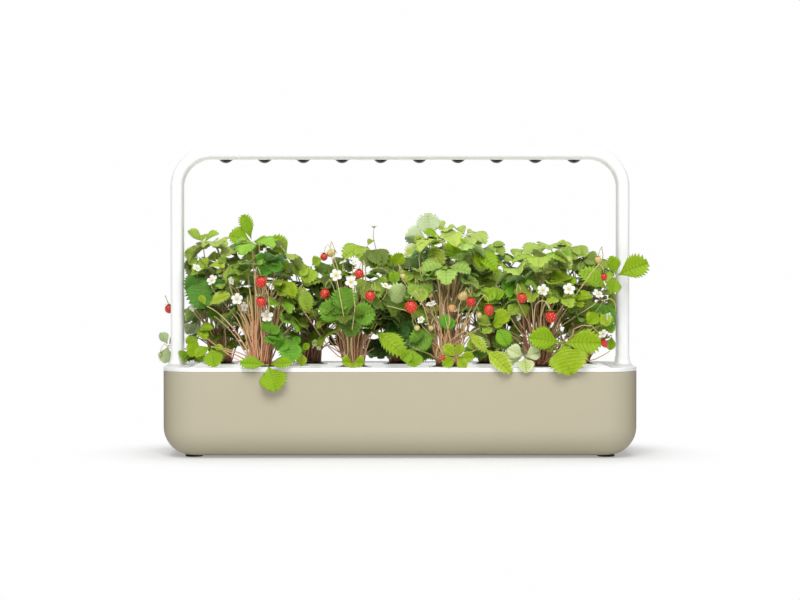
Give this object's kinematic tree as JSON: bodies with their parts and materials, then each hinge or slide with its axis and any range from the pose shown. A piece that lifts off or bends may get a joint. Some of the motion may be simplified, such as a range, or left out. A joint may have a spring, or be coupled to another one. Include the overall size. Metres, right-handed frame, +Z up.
{
  "type": "countertop hydroponic garden",
  "caption": "Rounded water tank with a lift-out planting tray of staggered pods, a float gauge and an arched grow lamp over leafy strawberry plants.",
  "frame": {"origin": "on the counter, under the middle of the tank", "axes": "+X to the right along the length, +Y towards the back, +Z up"},
  "size_m": [0.61, 0.185, 0.402],
  "materials": {
    "clay_plastic": "matte",
    "white_plastic": "satin",
    "foot_rubber": "matte",
    "lens_plastic": "gloss",
    "circuit_board": "satin",
    "black_plastic": "satin",
    "wire_sheath": "satin",
    "cup_plastic": "satin",
    "grow_medium": "matte",
    "leaf": "satin"
  },
  "bodies": {
    "tank": {"water_tank": "clay_plastic", "foot_front_left": "foot_rubber", "foot_front_right": "foot_rubber", "foot_back_left": "foot_rubber", "foot_back_right": "foot_rubber"},
    "deck": {"planting_tray": "white_plastic", "leg_socket_left": "white_plastic", "leg_socket_right": "white_plastic", "float_guide": "white_plastic"},
    "lamp": {"lamp_arch": "white_plastic", "light_cover": "white_plastic", "led_board": "circuit_board", "timer_board": "circuit_board", "dc_inlet": "black_plastic", "lamp_wire": "wire_sheath", "leg_collar_left": "white_plastic", "leg_collar_right": "white_plastic", "leg_spigot_left": "white_plastic", "leg_spigot_right": "white_plastic", "lens_01": "lens_plastic", "lens_02": "lens_plastic", "lens_03": "lens_plastic", "lens_04": "lens_plastic", "lens_05": "lens_plastic", "lens_06": "lens_plastic", "lens_07": "lens_plastic", "lens_08": "lens_plastic", "lens_09": "lens_plastic", "lens_10": "lens_plastic"},
    "float": {"float_stem": "white_plastic", "float_bulb": "white_plastic"},
    "pod_1": {"cup_1": "cup_plastic", "grow_plug_1": "grow_medium", "plant_1": "leaf"},
    "pod_2": {"cup_2": "cup_plastic", "grow_plug_2": "grow_medium", "plant_2": "leaf"},
    "pod_3": {"cup_3": "cup_plastic", "grow_plug_3": "grow_medium", "plant_3": "leaf"},
    "pod_4": {"cup_4": "cup_plastic", "grow_plug_4": "grow_medium", "plant_4": "leaf"},
    "pod_5": {"cup_5": "cup_plastic", "grow_plug_5": "grow_medium", "plant_5": "leaf"},
    "pod_6": {"cup_6": "cup_plastic", "grow_plug_6": "grow_medium", "plant_6": "leaf"},
    "pod_7": {"cup_7": "cup_plastic", "grow_plug_7": "grow_medium", "plant_7": "leaf"},
    "pod_8": {"cup_8": "cup_plastic", "grow_plug_8": "grow_medium", "plant_8": "leaf"},
    "pod_9": {"cup_9": "cup_plastic", "grow_plug_9": "grow_medium", "plant_9": "leaf"}
  },
  "joints": [
    {"name": "tray_lift", "type": "slide", "parent": "tank", "child": "deck", "axis": [0, 0, 1], "range_m": [0, 0.085]},
    {"name": "lamp_lift", "type": "slide", "parent": "deck", "child": "lamp", "axis": [0, 0, 1], "range_m": [0, 0.045]},
    {"name": "float_slide", "type": "slide", "parent": "deck", "child": "float", "axis": [0, 0, 1], "range_m": [-0.01, 0]},
    {"name": "pod_lift_1", "type": "slide", "parent": "deck", "child": "pod_1", "axis": [0, 0, 1], "range_m": [0, 0.056]},
    {"name": "pod_lift_2", "type": "slide", "parent": "deck", "child": "pod_2", "axis": [0, 0, 1], "range_m": [0, 0.056]},
    {"name": "pod_lift_3", "type": "slide", "parent": "deck", "child": "pod_3", "axis": [0, 0, 1], "range_m": [0, 0.056]},
    {"name": "pod_lift_4", "type": "slide", "parent": "deck", "child": "pod_4", "axis": [0, 0, 1], "range_m": [0, 0.056]},
    {"name": "pod_lift_5", "type": "slide", "parent": "deck", "child": "pod_5", "axis": [0, 0, 1], "range_m": [0, 0.056]},
    {"name": "pod_lift_6", "type": "slide", "parent": "deck", "child": "pod_6", "axis": [0, 0, 1], "range_m": [0, 0.056]},
    {"name": "pod_lift_7", "type": "slide", "parent": "deck", "child": "pod_7", "axis": [0, 0, 1], "range_m": [0, 0.056]},
    {"name": "pod_lift_8", "type": "slide", "parent": "deck", "child": "pod_8", "axis": [0, 0, 1], "range_m": [0, 0.056]},
    {"name": "pod_lift_9", "type": "slide", "parent": "deck", "child": "pod_9", "axis": [0, 0, 1], "range_m": [0, 0.056]}
  ]
}
